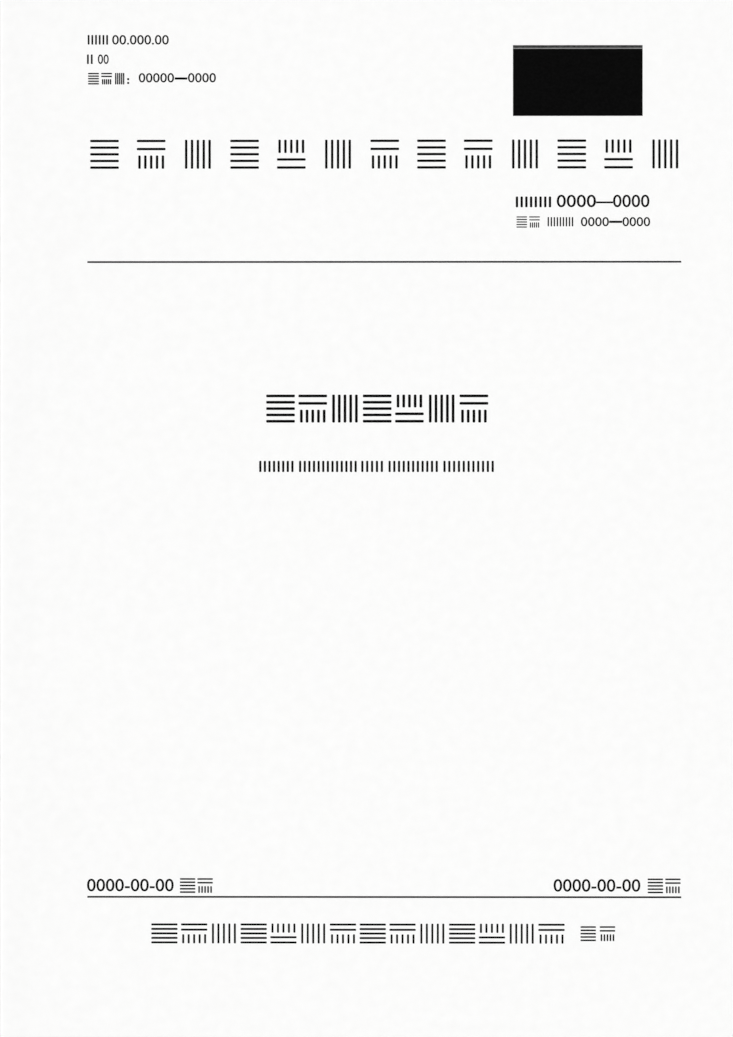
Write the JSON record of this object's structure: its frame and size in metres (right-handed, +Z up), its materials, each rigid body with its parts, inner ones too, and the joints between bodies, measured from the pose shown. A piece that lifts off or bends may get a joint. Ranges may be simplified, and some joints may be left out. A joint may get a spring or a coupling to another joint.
{
  "type": "stapled A4 booklet",
  "caption": "Wire-stapled paper booklet of A4 size, lying closed on its back cover, with a front cover that turns open about its spine crease.",
  "frame": {"origin": "middle of the page on the back cover's outer face, which lies on the table", "axes": "+Z up through the booklet, +Y towards the head of the page, spine at -X and fore-edge at +X"},
  "size_m": [0.2105, 0.297, 0.0036],
  "materials": {
    "cover_paper": "smooth bright white cover paper, uncoated",
    "text_paper": "matt offset paper, a little creamier than the cover",
    "staple_wire": "galvanized round steel wire",
    "printing_ink": "flat black offset ink on paper"
  },
  "bodies": {
    "bound_sheets": {"back_cover_with_spine": "cover_paper", "text_sheet_1": "text_paper", "text_sheet_2": "text_paper", "text_sheet_3": "text_paper", "text_sheet_4": "text_paper", "staple_head": "staple_wire", "staple_tail": "staple_wire"},
    "front_cover": {"front_cover": "cover_paper"}
  },
  "joints": [
    {"name": "front_cover_turn", "type": "hinge", "parent": "bound_sheets", "child": "front_cover", "pos_m": [-0.10469, 0, 0.00202], "axis": [0, -1, 0], "range_deg": [0, 179]}
  ]
}
